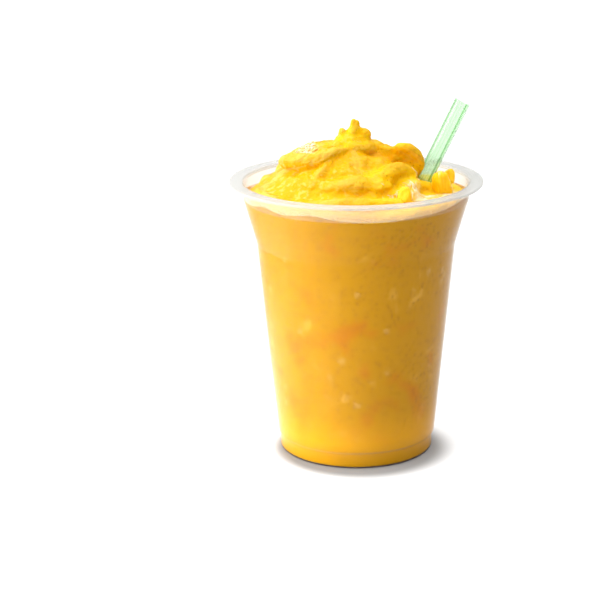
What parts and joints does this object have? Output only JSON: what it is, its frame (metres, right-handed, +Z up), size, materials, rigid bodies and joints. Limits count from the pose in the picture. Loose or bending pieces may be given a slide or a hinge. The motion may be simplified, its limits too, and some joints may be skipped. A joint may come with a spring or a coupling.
{
  "type": "mango smoothie in a clear cup",
  "caption": "Thick mango smoothie heaped in folds over a clear flared plastic cup with a flat flange, with a slanting pale green straw and diced mango on top.",
  "frame": {"origin": "middle of the cup's base, on the surface that the cup stands on", "axes": "+Z up along the cup's axis, +X to the side the straw leans out over, +Y away from the side that the picture shows"},
  "size_m": [0.095, 0.095, 0.1346],
  "materials": {
    "cup": "clear, slightly milky thermoformed plastic",
    "smoothie": "moist thick blended fruit with fine brown specks and pale ice",
    "straw": "pale green translucent plastic",
    "mango": "moist ripe fruit flesh"
  },
  "bodies": {
    "root": {"cup": "cup", "smoothie": "smoothie", "straw": "straw", "mango_chunk_1": "mango", "mango_chunk_2": "mango", "mango_chunk_3": "mango"}
  },
  "joints": []
}
